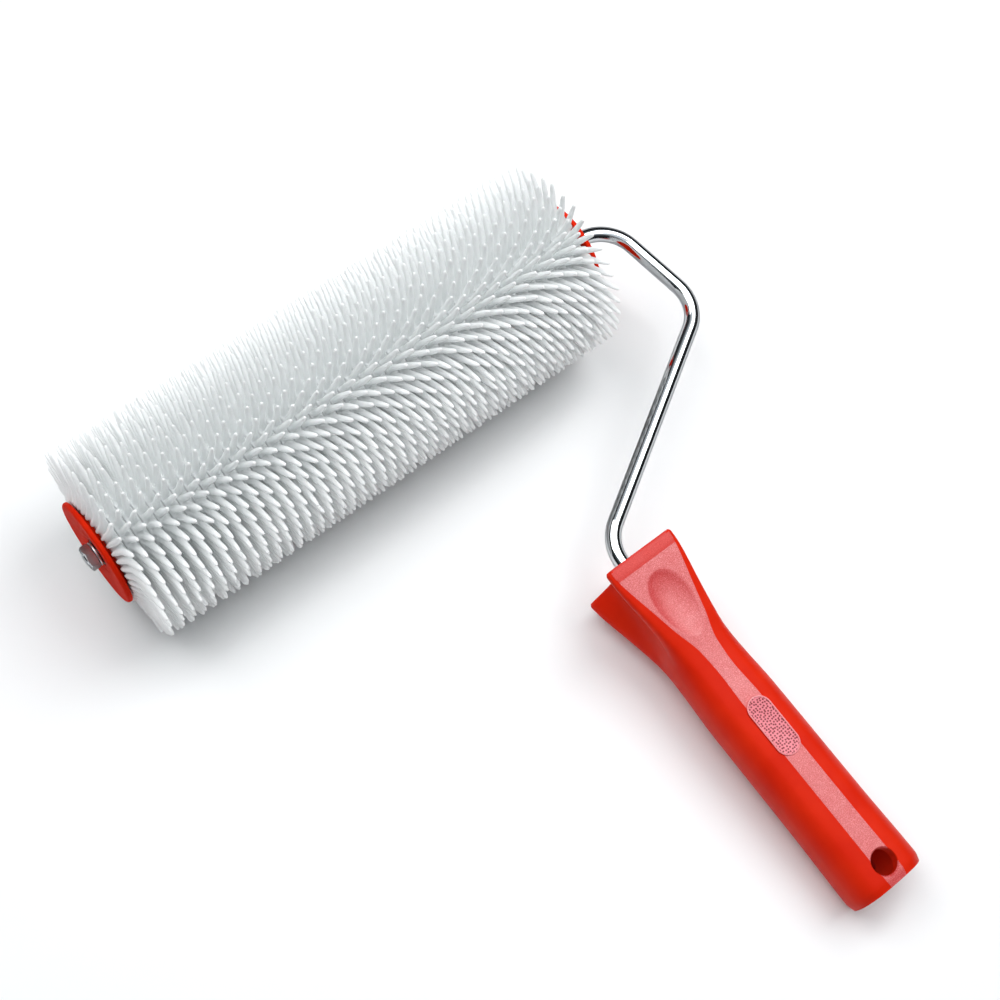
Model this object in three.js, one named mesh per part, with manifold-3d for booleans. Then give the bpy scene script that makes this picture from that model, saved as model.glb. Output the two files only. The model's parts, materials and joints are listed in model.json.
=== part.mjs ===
// Spiked pattern roller on a bent wire frame with a hollow moulded handle.
// Millimetres, +Z up. The tool lies at rest: spikes and handle butt on the ground.
import * as THREE from 'three';
import { mergeVertices } from 'three/addons/utils/BufferGeometryUtils.js';
import Module from 'manifold-3d';

const wasm = await Module();
wasm.setup();

// Roller
const TIP_R = 45;              // radius to the spike tips
const ROOT_R = 22.5;           // radius where the spikes start
const RINGS = 45;
const RING_PITCH = 5.37;
const RING_WIDTH = 5.07;
const END_LIP = 1.5;           // the first and last rings are this much wider, towards the caps
const SPIKES = 40;             // per ring, in two interleaved rows
const RING_BORE_R = 20.95;
const TUBE_R = 19.6;
const TUBE_BORE_R = 17.4;
const TUBE_HALF = 120.9;
const CAP_R = 24;
const CAP_OUT = 125;           // half of the roller's overall width
const CAP_IN = 122.7;
const SPIGOT_R = 17.0;
const SPIGOT_END = 108;
const CAP_BORE_R = 6.3;
const BUSH_R = 5.9;
const BUSH_BORE_R = 3.85;

// Wire frame, in the plane of the handle: X along the roller, Y towards the roller
const WIRE_R = 3.5;
const THREAD_R = 2.95;         // turned-down end that takes the washer and the nut
const SHOULDER_X = -123.8;
const WIRE_SIDES = 12;
const BEND_R = 19;
const NUT_R = 5.77;            // across corners / 2, for 10 mm across flats
const WIRE_END_X = 49.8;       // where the rod enters the handle
const WIRE_PATH = [[-129.6, 0], [148.1, 0], [157.2, -56.5], [WIRE_END_X, -120.1], [WIRE_END_X, -181]];

// Handle, measured along its own axis from the roller's axis
const HANDLE_X = 50.7;
const BUTT_Y = -298.8;
const SOCKET_R = 10.6;         // hollow butt, takes an extension pole
const SOCKET_DEPTH = 92;
const HANG_Y = -289.4;
const HANG_R = 5.5;
const BADGE_Y = -221.5;
const DIMPLE_Y = -159;
const HEAD_SLANT = 0.04;       // the head's end face leans towards the front by this slope
const HEAD_FROM = -136;
// [y, facet half width, half depth, edge half width, edge depth, side half width, side depth,
//  waist half width, waist depth]
const HANDLE_SECTIONS = [
  [-133.4, 15.4, 20.9, 16.6, 20.2, 16.6, 18.6, 8.9, 7.6],
  [-134.6, 16.2, 21.3, 17.2, 20.5, 17.2, 18.2, 8.5, 7.2],
  [-139.0, 15.7, 20.8, 17.0, 20.0, 17.0, 17.4, 8.6, 7.0],
  [-147.0, 13.9, 19.6, 16.0, 18.6, 16.2, 15.8, 9.2, 6.6],
  [-156.0, 11.6, 18.3, 14.5, 17.0, 15.0, 14.0, 10.4, 6.0],
  [-168.0, 8.6, 16.6, 12.6, 15.0, 13.8, 11.8, 12.2, 5.4],
  [-181.0, 5.0, 15.1, 10.4, 13.4, 13.2, 10.0, 14.6, 4.8],
  [-193.0, 4.3, 14.6, 10.0, 13.0, 13.7, 9.2, 15.2, 4.5],
  [-208.0, 4.9, 14.9, 10.4, 13.3, 14.2, 9.4, 16.0, 4.6],
  [-262.0, 4.9, 14.9, 10.5, 13.3, 14.4, 9.4, 16.3, 4.6],
  [-295.0, 5.1, 15.2, 10.8, 13.6, 14.8, 9.6, 16.8, 4.7],
  [-298.8, 4.6, 14.3, 10.0, 12.8, 13.9, 9.1, 15.9, 4.4],
];

const red = new THREE.MeshStandardMaterial({ color: 0xd8321c, roughness: 0.42, metalness: 0 });
const white = new THREE.MeshStandardMaterial({ color: 0xeef2f0, roughness: 0.45, metalness: 0 });
const grey = new THREE.MeshStandardMaterial({ color: 0xb9bdbd, roughness: 0.6, metalness: 0 });
const chrome = new THREE.MeshStandardMaterial({ color: 0xd9dcde, roughness: 0.14, metalness: 1 });
const steel = new THREE.MeshStandardMaterial({ color: 0xa9adb0, roughness: 0.35, metalness: 1 });
const nylon = new THREE.MeshStandardMaterial({ color: 0x2c2d2f, roughness: 0.55, metalness: 0 });

const TAU = Math.PI * 2;

// Indexed geometry from points and triangles
function solid(points, triangles) {
  const g = new THREE.BufferGeometry();
  g.setAttribute('position', new THREE.Float32BufferAttribute(points.flat(), 3));
  g.setIndex(triangles.flat());
  return g;
}

function named(name, geometry, material) {
  geometry.computeVertexNormals();
  const m = new THREE.Mesh(geometry, material.clone());
  m.name = name;
  return m;
}

// Closed band between rows of equal length, each row a closed loop; flat caps at both ends if wanted
function loft(rows, capped) {
  const n = rows[0].length;
  const points = rows.flat();
  const tris = [];
  for (let r = 0; r + 1 < rows.length; r++) {
    for (let i = 0; i < n; i++) {
      const a = r * n + i, b = r * n + (i + 1) % n, c = a + n, d = b + n;
      tris.push([a, b, d], [a, d, c]);
    }
  }
  if (capped) {
    const contour = rows[0].map((p) => new THREE.Vector2(p[capped[0]], p[capped[1]]));
    const last = (rows.length - 1) * n;
    for (const t of THREE.ShapeUtils.triangulateShape(contour, [])) {
      tris.push([t[2], t[1], t[0]], [last + t[0], last + t[1], last + t[2]]);
    }
  }
  return solid(points, tris);
}

// Turns a geometry outward if its signed volume is negative
function outward(g) {
  const p = g.getAttribute('position'), ix = g.index.array;
  const a = new THREE.Vector3(), b = new THREE.Vector3(), c = new THREE.Vector3();
  let v = 0;
  for (let i = 0; i < ix.length; i += 3) {
    a.fromBufferAttribute(p, ix[i]);
    b.fromBufferAttribute(p, ix[i + 1]);
    c.fromBufferAttribute(p, ix[i + 2]);
    v += a.dot(b.cross(c));
  }
  if (v < 0) for (let i = 0; i < ix.length; i += 3) [ix[i + 1], ix[i + 2]] = [ix[i + 2], ix[i + 1]];
  return g;
}

// Closed turned solid about the X axis from a closed profile of [x, r]
function turned(profile, sides, phase = 0) {
  const rows = profile.map(([x, r]) => Array.from({ length: sides }, (_, i) => {
    const t = phase + TAU * i / sides;
    return [x, r * Math.cos(t), r * Math.sin(t)];
  }));
  rows.push(rows[0]);
  return outward(mergeVertices(loft(rows), 1e-5));
}

// One moulded ring: a hub band whose outside is a strip of triangles, each raised to a spike
function spikeRing(phase, left, right) {
  const half = SPIKES / 2, bore = half / 2;
  const at = (x, r, t) => [x, r * Math.cos(t), r * Math.sin(t)];
  const step = TAU / half;
  const pts = [], tris = [];
  // Left roots 0.., right roots half.., bore left 2*half.., bore right, then the tips
  for (let i = 0; i < half; i++) pts.push(at(-left, ROOT_R, phase + step * (i - 0.5)));
  for (let i = 0; i < half; i++) pts.push(at(right, ROOT_R, phase + step * i));
  for (let i = 0; i < bore; i++) pts.push(at(-left, RING_BORE_R, phase + step * (2 * i - 0.25)));
  for (let i = 0; i < bore; i++) pts.push(at(right, RING_BORE_R, phase + step * (2 * i - 0.25)));
  const L = (i) => i % half, R = (i) => half + i % half;
  const BL = (i) => 2 * half + i % bore, BR = (i) => 2 * half + bore + i % bore;
  const spike = (a, b, c, t) => {
    const k = pts.push(at(0, TIP_R, t)) - 1;
    tris.push([a, b, k], [b, c, k], [c, a, k]);
  };
  for (let i = 0; i < half; i++) {
    spike(L(i), R(i), L(i + 1), phase + step * i);
    spike(R(i), R(i + 1), L(i + 1), phase + step * (i + 0.5));
  }
  for (let i = 0; i < bore; i++) {
    tris.push([BL(i), L(2 * i), L(2 * i + 1)], [BL(i), L(2 * i + 1), BL(i + 1)],
      [BL(i + 1), L(2 * i + 1), L(2 * i + 2)]);
    tris.push([BR(i), R(2 * i + 1), R(2 * i)], [BR(i), BR(i + 1), R(2 * i + 1)],
      [BR(i + 1), R(2 * i + 2), R(2 * i + 1)]);
    tris.push([BL(i), BR(i + 1), BR(i)], [BL(i), BL(i + 1), BR(i + 1)]);
  }
  return outward(solid(pts, tris));
}

// Centre line of the rod: straight runs joined by arcs of one radius, as [point, tangent]
function rodStations(path, radius, stepDeg) {
  const v = path.map(([x, y]) => new THREE.Vector2(x, y));
  const out = [[v[0], v[1].clone().sub(v[0]).normalize()]];
  for (let i = 1; i + 1 < v.length; i++) {
    const d0 = v[i].clone().sub(v[i - 1]).normalize(), d1 = v[i + 1].clone().sub(v[i]).normalize();
    const turn = Math.atan2(d0.cross(d1), d0.dot(d1));
    const reach = radius * Math.tan(Math.abs(turn) / 2);
    const start = v[i].clone().addScaledVector(d0, -reach);
    const side = new THREE.Vector2(-d0.y, d0.x).multiplyScalar(Math.sign(turn));
    const centre = start.clone().addScaledVector(side, radius);
    const n = Math.ceil(Math.abs(turn) * 180 / Math.PI / stepDeg);
    for (let k = 0; k <= n; k++) {
      const a = turn * k / n;
      out.push([start.clone().rotateAround(centre, a), d0.clone().rotateAround(new THREE.Vector2(), a)]);
    }
  }
  const e = v.length - 1;
  out.push([v[e], v[e].clone().sub(v[e - 1]).normalize()]);
  return out;
}

// Round rod along the path, thinner over its first run up to the shoulder
function rod(path, radius, bendRadius, sides, stepDeg) {
  const [first, ...rest] = rodStations(path, bendRadius, stepDeg).map(([p, d]) => [p, d, radius]);
  const shoulder = new THREE.Vector2(SHOULDER_X, 0);
  const stations = [[first[0], first[1], THREAD_R], [shoulder, first[1], THREAD_R],
    [shoulder, first[1], radius], ...rest];
  const rows = stations.map(([p, d, r]) => Array.from({ length: sides }, (_, i) => {
    const t = TAU * (i + 0.5) / sides, u = r * Math.cos(t);
    return [p.x - d.y * u, p.y + d.x * u, r * Math.sin(t)];
  }));
  const g = loft(rows, null);
  const ix = Array.from(g.index.array), last = (rows.length - 1) * sides;
  for (let i = 1; i + 1 < sides; i++) {
    ix.push(0, i + 1, i, last, last + i, last + i + 1);
  }
  g.setIndex(ix);
  return outward(g);
}

function toManifold(g) {
  const bare = g.clone();
  bare.deleteAttribute('normal');
  bare.deleteAttribute('uv');
  const m = mergeVertices(bare, 1e-5);
  return new wasm.Manifold(new wasm.Mesh({
    numProp: 3,
    vertProperties: new Float32Array(m.getAttribute('position').array),
    triVerts: new Uint32Array(m.index.array),
  }));
}

function fromManifold(m) {
  const mesh = m.getMesh();
  const g = new THREE.BufferGeometry();
  g.setAttribute('position', new THREE.BufferAttribute(new Float32Array(mesh.vertProperties), 3));
  g.setIndex(new THREE.BufferAttribute(new Uint32Array(mesh.triVerts), 1));
  return g;
}

// Prism with round or few-sided outline along one axis, through (u, v) on the other two
function prism(axis, radius, from, to, sides, u, v) {
  const g = new THREE.CylinderGeometry(radius, radius, Math.abs(to - from), sides);
  const mid = (from + to) / 2;
  if (axis === 'x') g.rotateZ(Math.PI / 2).translate(mid, u, v);
  if (axis === 'y') g.translate(u, mid, v);
  if (axis === 'z') g.rotateX(Math.PI / 2).translate(u, v, mid);
  return toManifold(g);
}

// Stadium pad in the XY plane, long side along Y
function stadium(halfLength, radius, z0, z1, x, y) {
  const s = new THREE.Shape();
  const k = halfLength - radius;
  s.absarc(0, k, radius, 0, Math.PI, false);
  s.absarc(0, -k, radius, Math.PI, TAU, false);
  s.closePath();
  const g = new THREE.ExtrudeGeometry(s, { depth: z1 - z0, bevelEnabled: false, curveSegments: 6 });
  g.translate(x, y, z0);
  return toManifold(g);
}

function handleSolid() {
  const rows = HANDLE_SECTIONS.map(([y, a, d, p, e, q, f, w, g]) => {
    const quarter = [[a, d], [p, e], [q, f], [w, g]];
    const right = [...quarter, ...quarter.slice().reverse().map(([x, z]) => [x, -z])];
    const left = right.slice().reverse().map(([x, z]) => [-x, z]);
    const slant = y > HEAD_FROM ? HEAD_SLANT : 0;
    return [...right, ...left].reverse().map(([x, z]) => [HANDLE_X + x, y + slant * z, z]);
  });
  let h = toManifold(outward(loft(rows, [0, 2])));
  h = h.add(stadium(14, 5.6, 12.5, 15.5, HANDLE_X, BADGE_Y));
  h = h.subtract(prism('y', SOCKET_R, BUTT_Y - 5, BUTT_Y + SOCKET_DEPTH, 20, HANDLE_X, 0));
  h = h.subtract(prism('z', HANG_R, -30, 30, 16, HANDLE_X, HANG_Y));
  h = h.subtract(prism('y', WIRE_R + 0.4, -181.4, -120, 12, WIRE_END_X, 0));
  const dimple = new THREE.SphereGeometry(1, 14, 8);
  dimple.scale(9.6, 16.5, 4.2);
  dimple.rotateX(-0.16);
  dimple.translate(HANDLE_X, DIMPLE_Y, 19.9);
  return fromManifold(h.subtract(toManifold(dimple)));
}

// Roller
const roller = new THREE.Group();
roller.name = 'roller';
const fine = TAU / SPIKES;
for (let i = 0; i < RINGS; i++) {
  const phase = -Math.PI / 2 + (i % 2 ? 0.25 : -0.25) * fine;
  const left = RING_WIDTH / 2 + (i === 0 ? END_LIP : 0);
  const right = RING_WIDTH / 2 + (i === RINGS - 1 ? END_LIP : 0);
  const ring = named(`spike_ring_${String(i + 1).padStart(2, '0')}`, spikeRing(phase, left, right), white);
  ring.position.x = (i - (RINGS - 1) / 2) * RING_PITCH;
  roller.add(ring);
}
roller.add(named('core_tube', turned([[-TUBE_HALF, TUBE_BORE_R], [-TUBE_HALF, TUBE_R],
  [TUBE_HALF, TUBE_R], [TUBE_HALF, TUBE_BORE_R]], 32), grey));

const capProfile = [[CAP_OUT - 1.2, CAP_BORE_R], [CAP_OUT - 1.2, 20.6], [CAP_OUT, 21.6],
  [CAP_OUT, CAP_R - 0.8], [CAP_OUT - 0.8, CAP_R], [CAP_IN, CAP_R], [CAP_IN, SPIGOT_R],
  [SPIGOT_END, SPIGOT_R], [SPIGOT_END, SPIGOT_R - 2.4], [CAP_IN, SPIGOT_R - 2.4],
  [CAP_IN, CAP_BORE_R + 2.6], [SPIGOT_END, CAP_BORE_R + 2.6], [SPIGOT_END, CAP_BORE_R]];
const bushProfile = [[SPIGOT_END, BUSH_BORE_R], [SPIGOT_END, BUSH_R], [CAP_OUT - 1.3, BUSH_R],
  [CAP_OUT - 1.3, BUSH_BORE_R]];
for (const [name, s] of [['left', -1], ['right', 1]]) {
  const mirrored = (p) => p.map(([x, r]) => [s * x, r]);
  roller.add(named(`${name}_end_cap`, turned(mirrored(capProfile), 24), red));
  roller.add(named(`${name}_bush`, turned(mirrored(bushProfile), 20), nylon));
}

// Wire frame and handle, which lean back so that the butt rests on the ground
const frame = new THREE.Group();
frame.name = 'frame';
frame.add(named('wire_frame', rod(WIRE_PATH, WIRE_R, BEND_R, WIRE_SIDES, 11), chrome));
const ringPiece = (x0, x1, inner, outer, sides) =>
  turned([[x0, inner], [x0, outer], [x1, outer], [x1, inner]], sides);
frame.add(named('outer_washer', ringPiece(-124.1, -125.1, THREAD_R + 0.4, 5.5, 20), steel));
frame.add(named('axle_nut', fromManifold(prism('x', NUT_R, -129.1, -125.2, 6, 0, 0)
  .subtract(prism('x', THREAD_R + 0.4, -140, -120, 12, 0, 0))), steel));
frame.add(named('inner_washer', ringPiece(124.1, 125.1, WIRE_R + 0.35, 6.9, 20), steel));
frame.add(named('stop_collar', ringPiece(125.4, 129.9, WIRE_R + 0.35, 5.7, 20), steel));
frame.add(named('handle', handleSolid(), red));

// Axle height with two rows of tips on the ground, and the lean that puts the butt's edge there too
const AXLE_Z = TIP_R * Math.cos(fine / 4);
const [buttY, , buttDepth] = HANDLE_SECTIONS[HANDLE_SECTIONS.length - 2];
const LEAN = Math.asin(AXLE_Z / Math.hypot(buttY, buttDepth)) - Math.atan2(buttDepth, -buttY);
frame.rotation.x = LEAN;

const part = new THREE.Group();
part.name = 'pattern_roller';
part.add(roller, frame);
roller.position.z = AXLE_Z;
frame.position.z = AXLE_Z;
part.updateMatrixWorld(true);
const centre = new THREE.Box3().setFromObject(part, true).getCenter(new THREE.Vector3());
roller.position.x -= centre.x;
roller.position.y -= centre.y;
frame.position.x -= centre.x;
frame.position.y -= centre.y;
part.updateMatrixWorld(true);

export default part;
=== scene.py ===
"""Looks of the spiked pattern roller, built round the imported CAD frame. Shapes are worked out in
millimetres about the roller's axis and then placed in the row frame, which is in metres."""

import json
import math
import random

import bmesh
import bpy
import numpy as np
from mathutils import Matrix, Vector


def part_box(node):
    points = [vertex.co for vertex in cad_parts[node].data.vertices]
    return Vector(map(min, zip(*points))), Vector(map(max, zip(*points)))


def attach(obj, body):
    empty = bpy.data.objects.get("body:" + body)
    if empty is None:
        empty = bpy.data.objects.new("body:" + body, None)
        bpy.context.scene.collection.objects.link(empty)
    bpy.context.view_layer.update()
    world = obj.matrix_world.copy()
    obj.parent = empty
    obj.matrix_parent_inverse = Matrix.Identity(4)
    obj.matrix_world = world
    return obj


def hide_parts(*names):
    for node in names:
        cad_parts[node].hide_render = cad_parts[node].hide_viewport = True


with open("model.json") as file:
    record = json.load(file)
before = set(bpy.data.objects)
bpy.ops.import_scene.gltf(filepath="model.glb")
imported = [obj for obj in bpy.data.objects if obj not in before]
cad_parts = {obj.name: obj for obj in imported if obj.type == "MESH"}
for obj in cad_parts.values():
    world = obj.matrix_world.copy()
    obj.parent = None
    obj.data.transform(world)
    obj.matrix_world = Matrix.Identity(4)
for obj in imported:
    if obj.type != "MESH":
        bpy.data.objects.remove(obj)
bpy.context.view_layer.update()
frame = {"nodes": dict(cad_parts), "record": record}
random.seed(11)

# ---------------------------------------------------------------- places taken from the frame
tube_lo, tube_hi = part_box("core_tube")
AXLE = (tube_lo + tube_hi) / 2
mount = frame["record"]["mounts"][0]
LEAN = math.atan2(-mount["axis"][2], -mount["axis"][1])
MM = Matrix.Scale(0.001, 4)
ROLLER = Matrix.Translation(AXLE) @ MM
PLANE = Matrix.Translation(AXLE) @ Matrix.Rotation(LEAN, 4, "X") @ MM

# ---------------------------------------------------------------- dimensions, in millimetres
TIP_R, ROOT_R, HUB_BORE_R = 45.0, 22.5, 20.0
RINGS, RING_PITCH, RING_WIDTH, SPIKES = 45, 5.37, 5.07, 40
END_LIP, END_BULGE = 0.15, 4.2   # extra hub width and root half width of the end rings, outward
CAP_R, CAP_OUT, CAP_IN, CAP_DISH = 24.0, 125.0, 122.7, 1.2
SPIGOT_R, SPIGOT_WALL, SPIGOT_END, HUB_R = 17.0, 2.4, 108.0, 8.9
BORE_R, BUSH_R, BUSH_OUT, RUNNING_R = 6.3, 5.9, 123.7, 3.85
ROD_R, THREAD_R, THREAD_PITCH, THREAD_DEPTH = 3.5, 2.95, 1.0, 0.34
SHOULDER_X, BEND_R, ROD_END_X = -123.8, 19.0, 49.8
ROD_PATH = [(-129.6, 0), (148.1, 0), (157.2, -56.5), (ROD_END_X, -120.1), (ROD_END_X, -181)]
NUT_IN, NUT_OUT, NUT_FLAT_R, NUT_BORE_R = -125.2, -129.1, 5.0, 3.15
ROD_RINGS = {   # the face towards the roller, the other face, bore radius, outer radius
    "outer_washer": (-124.1, -125.1, 3.1, 5.5),
    "inner_washer": (124.1, 125.1, 3.7, 6.9),
    "stop_collar": (125.4, 129.9, 3.6, 5.7)}
HANDLE_X, BUTT_Y, HEAD_Y = 50.7, -298.8, -133.4
HEAD_SLANT, HEAD_FROM = 0.04, -136.0   # the head's end face leans towards the front
LIP_Y, LIP_HEIGHT = -138.4, 0.18       # raised band along the head's edge
SOCKET_R, SOCKET_DEPTH = 10.6, 92.0
ROD_HOLE_R, ROD_HOLE_Y = 3.75, -181.4
HANG_Y, HANG_R = -289.4, 5.5
BADGE_Y, BADGE_HALF, BADGE_R = -221.5, 14.0, 5.6
BADGE_RISE, BADGE_FLOOR = 0.60, 0.30   # heights of the badge's rim and floor over the flat
# y, then half width and half depth of the front flat, the plate's edge, under that edge, the waist
HANDLE_SECTIONS = np.array([
    (-298.8, 4.6, 14.3, 10.0, 12.8, 13.9, 9.1, 15.9, 4.4),
    (-295.0, 5.1, 15.2, 10.8, 13.6, 14.8, 9.6, 16.8, 4.7),
    (-262.0, 4.9, 14.9, 10.5, 13.3, 14.4, 9.4, 16.3, 4.6),
    (-208.0, 4.9, 14.9, 10.4, 13.3, 14.2, 9.4, 16.0, 4.6),
    (-193.0, 4.3, 14.6, 10.0, 13.0, 13.7, 9.2, 15.2, 4.5),
    (-181.0, 5.0, 15.1, 10.4, 13.4, 13.2, 10.0, 14.6, 4.8),
    (-168.0, 8.6, 16.6, 12.6, 15.0, 13.8, 11.8, 12.2, 5.4),
    (-156.0, 11.6, 18.3, 14.5, 17.0, 15.0, 14.0, 10.4, 6.0),
    (-147.0, 13.9, 19.6, 16.0, 18.6, 16.2, 15.8, 9.2, 6.6),
    (-139.0, 15.7, 20.8, 17.0, 20.0, 17.0, 17.4, 8.6, 7.0),
    (-134.6, 16.2, 21.3, 17.2, 20.5, 17.2, 18.2, 8.5, 7.2),
    (-133.4, 15.4, 20.9, 16.6, 20.2, 16.6, 18.6, 8.9, 7.6),
])


# ---------------------------------------------------------------- materials
def new_material(name, **sockets):
    """Material, its node tree and its shader, with plain values set on the shader's sockets."""
    m = bpy.data.materials.new(name)
    m.use_nodes = True
    shader = m.node_tree.nodes["Principled BSDF"]
    for key, value in sockets.items():
        shader.inputs[key.replace("_", " ")].default_value = value
    return m, m.node_tree, shader


def add(tree, kind, **settings):
    """New node, with each setting put on the input or the property of that name."""
    n = tree.nodes.new(kind)
    for key, value in settings.items():
        if key in n.inputs:
            n.inputs[key].default_value = value
        else:
            setattr(n, key, value)
    return n


def noise(tree, scale, detail=4.0, roughness=0.55):
    """Noise in object space; scale is in features per metre."""
    coords = add(tree, "ShaderNodeTexCoord")
    n = add(tree, "ShaderNodeTexNoise", Scale=scale, Detail=detail, Roughness=roughness)
    tree.links.new(coords.outputs["Object"], n.inputs["Vector"])
    return n.outputs["Fac"]


def ramp(tree, fac, stops):
    """Colour ramp through (position, grey or colour) stops."""
    r = add(tree, "ShaderNodeValToRGB")
    while len(r.color_ramp.elements) < len(stops):
        r.color_ramp.elements.new(0.5)
    for e, (at, value) in zip(r.color_ramp.elements, stops):
        e.position = at
        e.color = (value, value, value, 1) if isinstance(value, float) else (*value, 1)
    tree.links.new(fac, r.inputs["Fac"])
    return r.outputs["Color"]


def bump(tree, shader, height, distance, strength):
    b = add(tree, "ShaderNodeBump", Strength=strength, Distance=distance)
    tree.links.new(height, b.inputs["Height"])
    tree.links.new(b.outputs["Normal"], shader.inputs["Normal"])


def red_plastic(name, gloss, rough):
    """Injection-moulded red with a satin finish."""
    m, t, s = new_material(name, IOR=1.5, Specular_IOR_Level=gloss)
    s.inputs["Subsurface Weight"].default_value = 0.05
    s.inputs["Subsurface Radius"].default_value = (1.0, 0.15, 0.05)
    s.inputs["Subsurface Scale"].default_value = 0.0015
    colour = ramp(t, noise(t, 60, 3), [(0.3, (0.62, 0.014, 0.002)), (0.7, (0.70, 0.022, 0.004))])
    t.links.new(colour, s.inputs["Base Color"])
    t.links.new(ramp(t, noise(t, 160, 3), [(0.3, rough - 0.04), (0.7, rough + 0.04)]),
                s.inputs["Roughness"])
    bump(t, s, noise(t, 40, 2), 0.0002, 0.2)
    return m


def red_grained(name, shades, relief, gloss):
    """The same red with the fine spark-eroded finish of the flats, which scatters light; where the
    shades run to pink over the grain, the pink is painted sheen.
    """
    m, t, s = new_material(name, IOR=1.55, Specular_IOR_Level=gloss)
    grain = noise(t, 2500, 2, 0.6)
    colour = ramp(t, grain, list(zip((0.36, 0.52, 0.68), shades)))
    t.links.new(colour, s.inputs["Base Color"])
    t.links.new(ramp(t, noise(t, 300, 3), [(0.3, 0.40), (0.7, 0.50)]), s.inputs["Roughness"])
    bump(t, s, grain, relief, 0.6)
    return m


def white_plastic():
    m, t, s = new_material("spike_white", IOR=1.45, Specular_IOR_Level=0.16)
    s.inputs["Subsurface Weight"].default_value = 0.9
    s.inputs["Subsurface Radius"].default_value = (1.0, 1.0, 1.0)
    s.inputs["Subsurface Scale"].default_value = 0.002
    colour = ramp(t, noise(t, 90, 3), [(0.3, (0.920, 0.950, 0.950)), (0.7, (0.955, 0.975, 0.970))])
    t.links.new(colour, s.inputs["Base Color"])
    t.links.new(ramp(t, noise(t, 400, 3), [(0.3, 0.55), (0.7, 0.66)]), s.inputs["Roughness"])
    bump(t, s, noise(t, 700, 2), 0.00003, 0.4)
    return m


def metal(name, colour, rough, scale, relief):
    m, t, s = new_material(name, Metallic=1.0, Specular_Tint=(0.02, 0.02, 0.02, 1))
    tint = ramp(t, noise(t, 50, 3), [(0.3, tuple(c * 0.94 for c in colour)), (0.7, colour)])
    t.links.new(tint, s.inputs["Base Color"])
    fine = noise(t, scale, 4, 0.6)
    t.links.new(ramp(t, fine, [(0.35, rough[0]), (0.7, rough[1])]), s.inputs["Roughness"])
    bump(t, s, fine, relief, 0.5)
    return m


def plain_plastic(name, low, high, rough):
    m, t, s = new_material(name)
    t.links.new(ramp(t, noise(t, 120, 3), [(0.3, low), (0.7, high)]), s.inputs["Base Color"])
    t.links.new(ramp(t, noise(t, 500, 3), [(0.3, rough - 0.05), (0.7, rough + 0.05)]),
                s.inputs["Roughness"])
    bump(t, s, noise(t, 1200, 2), 0.00004, 0.5)
    return m


def stippled_plastic():
    """Red with a close field of small pits; the pale pink between them is painted sheen, and the
    darkening in the pits is painted shade.
    """
    m, t, s = new_material("red_stippled_painted_sheen_and_pit_shade", IOR=1.5, Roughness=0.45)
    coords = add(t, "ShaderNodeTexCoord")
    cells = add(t, "ShaderNodeTexVoronoi", voronoi_dimensions="2D", Scale=840.0, Randomness=0.5)
    t.links.new(coords.outputs["Object"], cells.inputs["Vector"])
    pit, between = 0.25, 0.36   # distances from a pit's centre, in cells
    # The dark colour is painted shade in the pits; the pale pink is painted sheen on the red
    dark, pale = (0.20, 0.006, 0.010), (0.80, 0.21, 0.25)
    colour = ramp(t, cells.outputs["Distance"], [(pit, dark), (between, pale)])
    t.links.new(colour, s.inputs["Base Color"])
    bump(t, s, ramp(t, cells.outputs["Distance"], [(pit, 0.0), (between, 1.0)]), 0.0002, 0.6)
    return m


RED = red_plastic("red_satin", 0.07, 0.42)
RED_CAP = red_plastic("red_matt", 0.02, 0.60)
# Front flats: red with grain tone, and a pink top shade speckled over the grain that is painted sheen
RED_GRAIN_AND_PAINTED_SHEEN = red_grained(
    "red_grained", [(0.52, 0.020, 0.015), (0.62, 0.050, 0.050), (0.74, 0.16, 0.17)], 0.0001, 0.9)
# Badge rim: its pale pink is a painted highlight along the raised rim
RED_RIM_PAINTED_HIGHLIGHT = red_grained(
    "red_rim_painted_highlight", [(0.66, 0.12, 0.13), (0.74, 0.17, 0.19), (0.80, 0.24, 0.27)], 0.00003, 0.8)
RED_LIP = red_grained(
    "red_fine_grained", [(0.56, 0.024, 0.016), (0.62, 0.032, 0.024), (0.68, 0.05, 0.04)], 0.00004, 0.32)
BADGE = stippled_plastic()
WHITE = white_plastic()
CHROME = metal("bright_chrome", (0.66, 0.675, 0.69), (0.03, 0.07), 300, 0.000003)
ZINC = metal("zinc_plate", (0.70, 0.71, 0.72), (0.28, 0.38), 500, 0.000004)
NYLON = plain_plastic("nylon_dark", (0.020, 0.020, 0.022), (0.030, 0.030, 0.032), 0.5)
TUBE = plain_plastic("tube_grey", (0.42, 0.44, 0.44), (0.48, 0.50, 0.50), 0.55)


# ---------------------------------------------------------------- mesh helpers
def piece(name, verts, faces, place, material, body, node, sharp):
    """A smooth-shaded mesh piece from points in millimetres."""
    mesh = bpy.data.meshes.new(name)
    mesh.from_pydata([place @ Vector(v) for v in verts], [], faces)
    obj = bpy.data.objects.new(name, mesh)
    bpy.context.scene.collection.objects.link(obj)
    finish_piece(obj, [material], body, node, sharp)


def finish_piece(obj, materials, body, node, sharp, face_materials=None):
    """Materials, smooth shading up to an edge angle in degrees, and the CAD solid it stands for."""
    mesh = obj.data
    mesh.validate()
    for m in materials:
        mesh.materials.append(m)
    if face_materials is not None:
        mesh.polygons.foreach_set("material_index", face_materials)
    b = bmesh.new()
    b.from_mesh(mesh)
    bmesh.ops.recalc_face_normals(b, faces=b.faces)
    for f in b.faces:
        f.smooth = True
    for e in b.edges:
        e.smooth = len(e.link_faces) == 2 and e.calc_face_angle(0) < math.radians(sharp)
    b.to_mesh(mesh)
    b.free()
    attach(obj, body)
    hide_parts(node)


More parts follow.
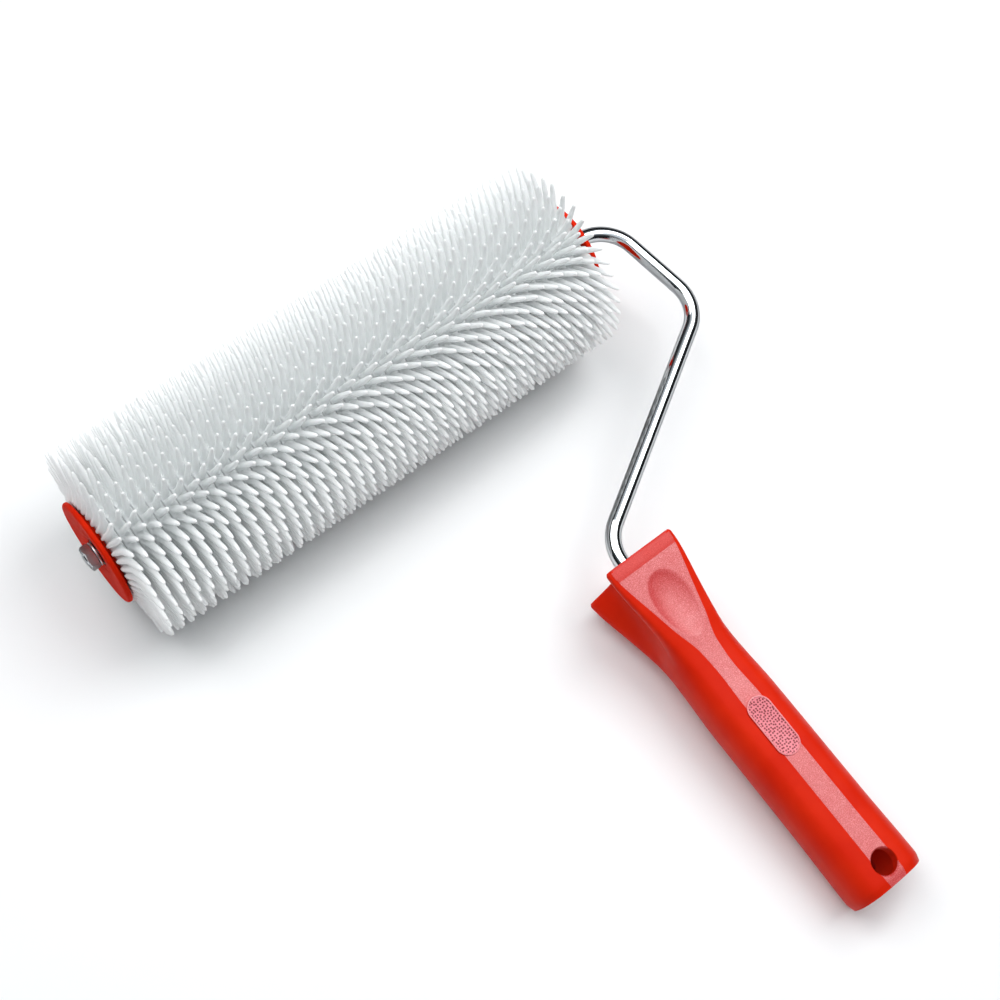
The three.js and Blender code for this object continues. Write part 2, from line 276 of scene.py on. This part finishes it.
def rows_to_mesh(rows, closed_rows=True, cap_ends=False):
    """Quads between successive rows of points; the last row joins the first if closed_rows."""
    n, count = len(rows[0]), len(rows)
    verts = [p for r in rows for p in r]
    faces = []
    for r in range(count if closed_rows else count - 1):
        s = (r + 1) % count
        for i in range(n):
            j = (i + 1) % n
            faces.append((r * n + i, r * n + j, s * n + j, s * n + i))
    if cap_ends:
        faces.append(tuple(range(n))[::-1])
        faces.append(tuple((count - 1) * n + i for i in range(n)))
    return verts, faces


def turned(name, profile, place, material, body, node, sides):
    """Ring turned about the X axis from a closed profile of (x, r)."""
    angles = [math.tau * i / sides for i in range(sides)]
    rows = [[(x, r * math.cos(a), r * math.sin(a)) for a in angles] for x, r in profile]
    verts, faces = rows_to_mesh(rows)
    piece(name, verts, faces, place, material, body, node, 35)


def rounded(profile, radius, steps=3):
    """The closed profile with each corner cut to an arc-like curve of about that radius."""
    out, n = [], len(profile)
    for i in range(n):
        p, q, s = (Vector(profile[(i + k) % n]) for k in (-1, 0, 1))
        a, b = p - q, s - q
        reach = min(radius, a.length * 0.45, b.length * 0.45)
        start, end = q + a.normalized() * reach, q + b.normalized() * reach
        for k in range(steps + 1):
            t = k / steps
            out.append(tuple(start.lerp(q, t).lerp(q.lerp(end, t), t)))
    return out


# ---------------------------------------------------------------- spike rings
SPIKE_STATIONS = [  # radius from the axis, half width round the ring, half width along the axis
    (22.95, 1.58, 2.05), (24.2, 1.50, 1.72), (29.0, 1.42, 1.50), (36.0, 1.22, 1.28),
    (41.5, 1.02, 1.04), (43.9, 0.82, 0.82), (44.75, 0.47, 0.47)]
SIDE_POINTS = 3                # points along each of the four sides of a spike's root cell
CELL = 4 * SIDE_POINTS
AROUND = SPIKES * SIDE_POINTS  # points along each edge of a ring
LEAN_X, LEAN_ANGLE, SHORTFALL = 0.40, 0.011, 0.10   # spread of the tips: along, round, in height
GROOVE, HUB_EDGE, BORE_EDGE = 0.28, 0.35, 0.2       # how far the hub's edges are cut back
BULGE_TOP, BULGE_FADE = 31, 7  # the end rings' wide roots fade out at this radius, over this height


def cell_outline(k):
    """Point k of a cell's edge, as fractions (-1..1) round the ring and along the axis."""
    side, along = divmod(k, SIDE_POINTS)
    t = -1 + 2 * along / SIDE_POINTS
    return [(t, -1), (1, t), (-t, 1), (-1, -t)][side]


def bridge(faces, p, q):
    """Quads between two closed loops of vertex numbers."""
    n = len(p)
    faces += [(p[i], p[(i + 1) % n], q[(i + 1) % n], q[i]) for i in range(n)]


def spike_ring(index):
    """Hub with a square root cell round each spike, so that spikes and hub are one closed mesh."""
    step = math.tau / SPIKES
    phase = -math.pi / 2 + (0.25 if index % 2 else -0.25) * step
    centre = (index - (RINGS - 1) / 2) * RING_PITCH
    outward = {0: -1, RINGS - 1: 1}.get(index, 0)
    half = {side: RING_WIDTH / 2 + (END_LIP if side == outward else 0) for side in (-1, 1)}
    outline = [cell_outline(k) for k in range(CELL)]
    verts, faces, shared = [], [], {}

    def vertex(x, r, a, key=None):
        if key in shared:
            return shared[key]
        verts.append((centre + x, r * math.cos(a), r * math.sin(a)))
        if key is not None:
            shared[key] = len(verts) - 1
        return len(verts) - 1

    for s in range(SPIKES):
        mid = phase + step * s
        lean_x, lean_a = random.gauss(0, LEAN_X), random.gauss(0, LEAN_ANGLE)
        tip = TIP_R - abs(random.gauss(0, SHORTFALL))
        loop = []
        for u, v in outline:
            column = round(s * SIDE_POINTS + (u + 1) / 2 * SIDE_POINTS) % AROUND
            loop.append(vertex(v * (half[-1 if v < 0 else 1] - GROOVE), ROOT_R, mid + u * step / 2,
                               (column, round(v, 3))))
        for r, round_w, axial_w in SPIKE_STATIONS:
            far = (r - ROOT_R) / (TIP_R - ROOT_R)
            bend = far * far
            bulge = (END_BULGE - axial_w) * min(1.0, max(0.0, (BULGE_TOP - r) / BULGE_FADE)) ** 2
            height = r * tip / TIP_R if far > 0.5 else r
            ring = []
            for u, v in outline:
                a = math.atan2(v, u)
                proud = bulge * max(0.0, math.sin(a) * outward) ** 2
                ring.append(vertex(axial_w * math.sin(a) + outward * proud + lean_x * bend, height,
                                   mid + round_w * math.cos(a) / r + lean_a * bend))
            bridge(faces, loop, ring)
            loop = ring
        top = vertex(lean_x, tip, mid + lean_a)
        faces += [(loop[i], loop[(i + 1) % CELL], top) for i in range(CELL)]
    angles = [phase + step * (g / SIDE_POINTS - 0.5) for g in range(AROUND)]
    bores = []
    for side in (-1, 1):
        face = side * half[side]
        loops = [[shared[(g, float(side))] for g in range(AROUND)],
                 [vertex(face, ROOT_R - HUB_EDGE, a) for a in angles],
                 [vertex(face, HUB_BORE_R + BORE_EDGE, a) for a in angles],
                 [vertex(face - side * BORE_EDGE, HUB_BORE_R, a) for a in angles]]
        for p, q in zip(loops, loops[1:]):
            bridge(faces, p, q)
        bores.append(loops[-1])
    bridge(faces, *bores)
    name = f"spike_ring_{index + 1:02d}"
    piece("moulded_" + name, verts, faces, ROLLER, WHITE, "roller", name, 50)


for number in range(RINGS):
    spike_ring(number)

# ---------------------------------------------------------------- end caps and bearings
CAP_PROFILE = [   # (x, r) of the right cap, from the dished face round the rim to the spigot and the hub
    (CAP_OUT - CAP_DISH, BORE_R), (CAP_OUT - CAP_DISH, 9.4), (CAP_OUT - 1.0, 9.9), (CAP_OUT - 0.5, 15.0),
    (CAP_OUT, 21.0), (CAP_OUT, 23.0), (CAP_OUT - 0.35, 23.65), (CAP_OUT - 0.9, CAP_R),
    (CAP_IN + 0.3, CAP_R), (CAP_IN, CAP_R - 0.3), (CAP_IN, SPIGOT_R), (SPIGOT_END, SPIGOT_R),
    (SPIGOT_END, SPIGOT_R - SPIGOT_WALL), (CAP_IN, SPIGOT_R - SPIGOT_WALL), (CAP_IN, HUB_R),
    (SPIGOT_END, HUB_R), (SPIGOT_END, BORE_R)]


def tube_profile(x0, x1, inner, outer):
    """Closed (x, r) profile of a plain ring."""
    return [(x0, inner), (x0, outer), (x1, outer), (x1, inner)]


for end, sign in (("left", -1), ("right", 1)):
    cap = rounded([(sign * x, r) for x, r in CAP_PROFILE], 0.35)
    turned(f"{end}_cap_moulding", cap, ROLLER, RED_CAP, "roller", f"{end}_end_cap", 128)
    bush = rounded(tube_profile(sign * SPIGOT_END, sign * BUSH_OUT, RUNNING_R, BUSH_R), 0.3)
    turned(f"{end}_bush_turned", bush, ROLLER, NYLON, "roller", f"{end}_bush", 48)
for part_name, sizes in ROD_RINGS.items():
    turned(part_name + "_turned", rounded(tube_profile(*sizes), 0.25), PLANE, ZINC, "frame", part_name,
           64)


def hex_nut():
    """Hexagon with chamfered corners and a countersunk bore."""
    sides = 96
    angles = [math.tau * i / sides for i in range(sides)]
    sixth = math.pi / 3
    edge = [NUT_FLAT_R / math.cos((a + sixth / 2) % sixth - sixth / 2) for a in angles]
    face_r, sink_r, sink_depth = NUT_FLAT_R - 0.15, NUT_BORE_R + 0.55, 0.5
    drop = [max(0.0, (e - face_r) * math.tan(math.radians(30))) for e in edge]

    def circle(x, r):
        return [(x, r * math.cos(a), r * math.sin(a)) for a in angles]

    def hexagon(x, side):
        return [(x + side * d, e * math.cos(a), e * math.sin(a)) for a, e, d in zip(angles, edge, drop)]

    rows = [circle(NUT_IN, NUT_BORE_R), circle(NUT_IN, face_r), hexagon(NUT_IN, -1), hexagon(NUT_OUT, 1),
            circle(NUT_OUT, face_r), circle(NUT_OUT, sink_r), circle(NUT_OUT + sink_depth, NUT_BORE_R)]
    verts, faces = rows_to_mesh(rows)
    piece("hex_nut", verts, faces, PLANE, ZINC, "frame", "axle_nut", 25)


hex_nut()


# ---------------------------------------------------------------- bent rod
def rod_stations(path, radius, step_deg):
    """Centre line as (point, direction): straight runs joined by arcs of one radius."""
    pts = [Vector(p) for p in path]
    out = [(pts[0], (pts[1] - pts[0]).normalized())]
    for i in range(1, len(pts) - 1):
        d0, d1 = (pts[i] - pts[i - 1]).normalized(), (pts[i + 1] - pts[i]).normalized()
        turn = math.atan2(d0.x * d1.y - d0.y * d1.x, d0.dot(d1))
        start = pts[i] - d0 * radius * math.tan(abs(turn) / 2)
        centre = start + Vector((-d0.y, d0.x)) * math.copysign(radius, turn)
        steps = math.ceil(math.degrees(abs(turn)) / step_deg)
        for k in range(steps + 1):
            spin = Matrix.Rotation(turn * k / steps, 2)
            out.append((centre + spin @ (start - centre), spin @ d0))
    out.append((pts[-1], (pts[-1] - pts[-2]).normalized()))
    return out


def threaded_end(start, direction):
    """Stations (point, direction, radius) of the thread's profile and the shoulder behind it."""
    lead_in, lead_in_depth, spacing, count = 0.25, 0.7, 0.1, 54
    stations = [(start, direction, THREAD_R - lead_in_depth)]
    for k in range(count):
        along = k * spacing
        depth = THREAD_DEPTH / 2 * (1 + math.cos(math.tau * along / THREAD_PITCH))
        stations.append((start + direction * (lead_in + along), direction, THREAD_R - depth))
    shoulder, bevel = Vector((SHOULDER_X, 0)), 0.3
    return stations + [(shoulder, direction, THREAD_R), (shoulder, direction, ROD_R - bevel),
                       (shoulder + direction * bevel, direction, ROD_R)]


def bent_rod():
    sides = 40
    angles = [math.tau * i / sides for i in range(sides)]
    (start, direction), *rest = rod_stations(ROD_PATH, BEND_R, 4)
    rows = []
    for p, d, r in threaded_end(start, direction) + [(q, e, ROD_R) for q, e in rest]:
        rows.append([(p.x - d.y * r * math.cos(a), p.y + d.x * r * math.cos(a), r * math.sin(a))
                     for a in angles])
    verts, faces = rows_to_mesh(rows, closed_rows=False, cap_ends=True)
    piece("bent_rod", verts, faces, PLANE, CHROME, "frame", "wire_frame", 40)


bent_rod()


# ---------------------------------------------------------------- handle
def smooth_columns(table, at):
    """Monotone cubic through each column of table against its first column."""
    x, y = table[:, 0], table[:, 1:]
    h = np.diff(x)[:, None]
    slope = np.diff(y, axis=0) / h
    tangent = np.zeros_like(y)
    same = slope[:-1] * slope[1:] > 0
    w1, w2 = 2 * h[1:] + h[:-1], h[1:] + 2 * h[:-1]
    with np.errstate(divide="ignore", invalid="ignore"):
        mean = (w1 + w2) / (w1 / slope[:-1] + w2 / slope[1:])
    tangent[1:-1] = np.where(same, mean, 0)
    tangent[0], tangent[-1] = slope[0], slope[-1]
    i = np.clip(np.searchsorted(x, at) - 1, 0, len(h) - 1)
    t = ((at - x[i]) / h[i, 0])[:, None]
    a, b = y[i], y[i + 1]
    ta, tb = tangent[i] * h[i], tangent[i + 1] * h[i]
    return (a * (2 * t**3 - 3 * t**2 + 1) + b * (3 * t**2 - 2 * t**3)
            + ta * (t**3 - 2 * t**2 + t) + tb * (t**3 - t**2))


def spline(points, per_span):
    """Centripetal Catmull-Rom curve through the points."""
    p = [np.array(q, float) for q in points]
    p = [2 * p[0] - p[1]] + p + [2 * p[-1] - p[-2]]
    out = []
    for i in range(1, len(p) - 2):
        t = [0.0]
        for k in range(3):
            t.append(t[-1] + max(1e-6, np.linalg.norm(p[i + k] - p[i + k - 1])) ** 0.5)
        for u in np.linspace(t[1], t[2], per_span[i - 1], endpoint=False):
            a = [((t[k + 1] - u) * p[i - 1 + k] + (u - t[k]) * p[i + k]) / (t[k + 1] - t[k])
                 for k in range(3)]
            b = [((t[k + 2] - u) * a[k] + (u - t[k]) * a[k + 1]) / (t[k + 2] - t[k]) for k in range(2)]
            out.append(((t[2] - u) * b[0] + (u - t[1]) * b[1]) / (t[2] - t[1]))
    out.append(p[-2])
    return out


FLAT_STEPS = 14       # points across half of a flat
FLAT_EDGE = 0.45      # the flat stops this far short of its half width, where its edge rounds off
DIMPLE = dict(y=-159.0, half_length=15.3, half_width=8.5, depth=2.7)


def flat_height(y):
    """Half depth of the handle at y, which is the height of its front flat."""
    return float(smooth_columns(HANDLE_SECTIONS, np.array([y]))[0, 1])


def flat_relief(x, y):
    """Height added to the front flat: the lip at the head and the egg-shaped thumb scoop."""
    lip = LIP_HEIGHT / 2 * (1 + math.tanh((y - LIP_Y) / 0.5))
    v = (y - DIMPLE["y"]) / DIMPLE["half_length"]
    u = (x + 0.2) / (DIMPLE["half_width"] * (1 + 0.14 * v))
    bowl = max(0.0, 1 - u * u - v * v) ** 0.85
    return lip - DIMPLE["depth"] * bowl * (0.72 + 0.34 * v)


def section(values, y):
    """Closed outline of the handle at y: slightly crowned flats, two plates and a waist between."""
    flat_w, flat_d, edge_w, edge_d, under_w, under_d, waist_w, waist_d = values
    inside, corner, ease = flat_w - FLAT_EDGE, flat_w - 0.03, 0.12
    flat = []
    for k in range(FLAT_STEPS + 1):
        x = inside * k / FLAT_STEPS
        flat.append((x, flat_d + ease * (1 - (x / flat_w) ** 2)))
    front = [(inside, flat_d), (corner, flat_d - ease), (edge_w, edge_d), (under_w, under_d),
             (waist_w, waist_d)]
    side = spline(front + [(x, -z) for x, z in front[::-1]], [2, 5, 4, 7, 4, 7, 4, 5, 2])
    half = flat[:-1] + [tuple(s) for s in side] + [(x, -z) for x, z in flat[:-1][::-1]]
    loop = half + [(-x, z) for x, z in half[1:-1][::-1]]
    return [(x, z + flat_relief(x, y) * (1 if z > 0 and abs(x) <= inside + 1e-6 else 0))
            for x, z in loop]


def solid_object(name, rows):
    """Closed object, not yet a piece, from open rows of points."""
    verts, faces = rows_to_mesh(rows, closed_rows=False, cap_ends=True)
    mesh = bpy.data.meshes.new(name)
    mesh.from_pydata(verts, [], faces)
    b = bmesh.new()
    b.from_mesh(mesh)
    bmesh.ops.recalc_face_normals(b, faces=b.faces)
    b.to_mesh(mesh)
    b.free()
    obj = bpy.data.objects.new(name, mesh)
    bpy.context.scene.collection.objects.link(obj)
    return obj


def turned_cutter(name, profile, axis, sides, at):
    """Closed solid turned from (along, radius) points about Y or Z through at."""
    rows = []
    for along, r in profile:
        row = []
        for i in range(sides):
            c, s = r * math.cos(math.tau * i / sides), r * math.sin(math.tau * i / sides)
            row.append((at[0] + c, along, at[2] + s) if axis == "y" else (at[0] + c, at[1] + s, along))
        rows.append(row)
    return solid_object(name, rows)


def carve(obj, cutters, operation):
    """Boolean of obj with each cutter in turn; the cutters are used up."""
    for c in cutters:
        m = obj.modifiers.new("cut", "BOOLEAN")
        m.operation, m.solver, m.object = operation, "EXACT", c
        bpy.context.view_layer.update()
        evaluated = obj.evaluated_get(bpy.context.evaluated_depsgraph_get())
        carved = bpy.data.meshes.new_from_object(evaluated)
        obj.modifiers.clear()
        obj.data = carved
        bpy.data.objects.remove(c)


def badge_solid(name, levels):
    """Solid with the badge's outline, from (height, inset) levels."""
    sides, straight = 48, BADGE_HALF - BADGE_R
    rows = []
    for z, inset in levels:
        r, row = BADGE_R - inset, []
        for i in range(sides):
            a = math.tau * (i + 0.5) / sides
            row.append((HANDLE_X + r * math.cos(a),
                        BADGE_Y + math.copysign(straight, math.sin(a)) + r * math.sin(a), z))
        rows.append(row)
    return solid_object(name, rows)


def handle_blank():
    """The moulding's outer skin, before the badge and the holes."""
    fine = np.arange(-180.0, HEAD_FROM, 0.55)
    coarse = np.arange(-294.0, -180.5, 1.3)
    butt = BUTT_Y + np.array([0.0, 0.5, 1.2, 2.2, 3.5])
    head = HEAD_Y - np.array([2.2, 1.6, 1.2, 0.7, 0.3, 0.0])
    stations = np.sort(np.concatenate([fine, coarse, butt, head]))
    rows = []
    for y, values in zip(stations, smooth_columns(HANDLE_SECTIONS, stations)):
        slant = HEAD_SLANT * min(1.0, max(0.0, (y - HEAD_FROM + 3) / 3))
        rows.append([(HANDLE_X + x, y + slant * z, z) for x, z in section(values, y)])
    return solid_object("handle_moulding", rows)


def handle_cutters():
    """Badge floor, pole socket, hang hole and rod hole."""
    badge_z, hang_z = flat_height(BADGE_Y), flat_height(HANG_Y)
    mouth, socket_end = BUTT_Y - 0.01, BUTT_Y + SOCKET_DEPTH
    well = badge_solid("well", [(badge_z + BADGE_FLOOR - 0.04, 0.75), (badge_z + BADGE_FLOOR, 0.65),
                                (badge_z + 2, 0.60)])
    socket = [(mouth - 2, SOCKET_R + 2.7), (mouth, SOCKET_R + 0.7), (mouth + 0.7, SOCKET_R),
              (socket_end - 1, SOCKET_R - 0.3), (socket_end, SOCKET_R - 1.3)]
    hang = [(-hang_z - 3, HANG_R + 3.5), (-hang_z + 0.5, HANG_R), (hang_z - 0.5, HANG_R),
            (hang_z + 3, HANG_R + 3.5)]
    rod_hole = [(ROD_HOLE_Y, ROD_HOLE_R), (HEAD_Y - 0.7, ROD_HOLE_R), (HEAD_Y + 1.5, ROD_HOLE_R + 2.2)]
    return [well, turned_cutter("socket", socket, "y", 72, (HANDLE_X, 0, 0)),
            turned_cutter("hang", hang, "z", 64, (HANDLE_X, HANG_Y, 0)),
            turned_cutter("rod_hole", rod_hole, "y", 48, (ROD_END_X, 0, 0))]


HANDLE_MATERIALS = [RED, RED_GRAIN_AND_PAINTED_SHEEN, BADGE, RED_LIP, RED_RIM_PAINTED_HIGHLIGHT]


def handle_face_materials(mesh):
    """For each face, the index of its material in HANDLE_MATERIALS."""
    centres = np.empty(len(mesh.polygons) * 3)
    normals = np.empty(len(mesh.polygons) * 3)
    mesh.polygons.foreach_get("center", centres)
    mesh.polygons.foreach_get("normal", normals)
    centres, normals = centres.reshape(-1, 3), normals.reshape(-1, 3)
    y, z = centres[:, 1], centres[:, 2]
    near = smooth_columns(HANDLE_SECTIONS, np.clip(y, BUTT_Y, HEAD_Y))
    x = np.abs(centres[:, 0] - HANDLE_X)
    on_flat = (x < near[:, 0] - 0.4) & (np.abs(z) > near[:, 1] - 4) & (np.abs(normals[:, 2]) > 0.5)
    on_lip = on_flat & (y > LIP_Y)
    badge_z = flat_height(BADGE_Y)
    floor_top = badge_z + BADGE_FLOOR + 0.02
    beside = np.abs(y - BADGE_Y) < BADGE_HALF
    # The badge's floor gets the stipple with painted sheen and painted shade in its pits
    in_badge = beside & (z > badge_z + 0.2) & (z < floor_top) & (x < BADGE_R - 0.3)
    # The rim faces get the pale pink painted highlight
    on_rim = beside & (z > floor_top) & (x < BADGE_R)
    chosen = np.where(in_badge, 2, np.where(on_rim, 4, np.where(on_lip, 3, np.where(on_flat, 1, 0))))
    return chosen.astype(np.int32)


def handle():
    body = handle_blank()
    badge_z = flat_height(BADGE_Y)
    rim = badge_z + BADGE_RISE
    pad = badge_solid("pad", [(badge_z - 3, 0), (rim - 0.24, 0), (rim - 0.04, 0.10), (rim, 0.35)])
    carve(body, [pad], "UNION")
    carve(body, handle_cutters(), "DIFFERENCE")
    face_materials = handle_face_materials(body.data)
    body.data.transform(PLANE)
    finish_piece(body, HANDLE_MATERIALS, "frame", "handle", 32, face_materials)


handle()

tube = frame["nodes"]["core_tube"]
tube.data.materials.clear()
tube.data.materials.append(TUBE)

# ---------------------------------------------------------------- floor, light and camera
floor_mesh = bpy.data.meshes.new("floor")
reach = 4   # metres from the middle to each side
corners = [(-reach, -reach, 0), (reach, -reach, 0), (reach, reach, 0), (-reach, reach, 0)]
floor_mesh.from_pydata(corners, [], [(0, 1, 2, 3)])
floor = bpy.data.objects.new("floor", floor_mesh)
bpy.context.scene.collection.objects.link(floor)
floor_material, floor_tree, floor_shader = new_material(
    "floor_pale", Roughness=0.75, Specular_IOR_Level=0.2)
floor_tree.links.new(ramp(floor_tree, noise(floor_tree, 6, 3), [(0.3, 0.88), (0.7, 0.90)]),
                     floor_shader.inputs["Base Color"])
floor_mesh.materials.append(floor_material)

world = bpy.data.worlds.new("studio")
bpy.context.scene.world = world
world.use_nodes = True
sky = world.node_tree
outlook = add(sky, "ShaderNodeTexCoord")
height = add(sky, "ShaderNodeSeparateXYZ")
sky.links.new(outlook.outputs["Generated"], height.inputs["Vector"])
# Dark at the horizon and bright overhead, which gives the rod its stripes
dome = ramp(sky, height.outputs["Z"], [(0.45, (0.02, 0.022, 0.024)), (0.72, (0.10, 0.107, 0.113)),
                                       (0.90, (0.88, 0.95, 1.0))])
sky.links.new(dome, sky.nodes["Background"].inputs["Color"])
sky.nodes["Background"].inputs["Strength"].default_value = 0.95


def area_light(name, place, target, size, power):
    """Square soft light; metres and watts."""
    data = bpy.data.lights.new(name, "AREA")
    data.shape, data.size, data.energy = "SQUARE", size, power
    obj = bpy.data.objects.new(name, data)
    bpy.context.scene.collection.objects.link(obj)
    obj.location = place
    obj.rotation_euler = (Vector(target) - Vector(place)).to_track_quat("-Z", "Y").to_euler()


area_light("key", (0.60, -0.02, 1.18), (0.03, -0.05, 0), 0.85, 10)
area_light("top", (-0.30, 0.55, 1.35), (0, 0, 0), 1.0, 11)
area_light("fill", (-1.2, -0.9, 0.9), (0, 0, 0), 1.0, 0.8)

CAMERA_FROM_AXLE = Vector((-0.1913, -0.2718, 0.6165))
CAMERA_TURN = (24.90, -4.23, -38.73)   # degrees about X, Y and Z
camera_data = bpy.data.cameras.new("camera")
camera_data.sensor_width, camera_data.lens = 36, 58.39
camera_data.shift_x, camera_data.shift_y = 0.0015, -0.008
camera_data.clip_start, camera_data.clip_end = 0.01, 20
camera = bpy.data.objects.new("camera", camera_data)
bpy.context.scene.collection.objects.link(camera)
camera.location = AXLE + CAMERA_FROM_AXLE
camera.rotation_euler = [math.radians(a) for a in CAMERA_TURN]
bpy.context.scene.camera = camera
bpy.context.scene.view_settings.view_transform = "Standard"
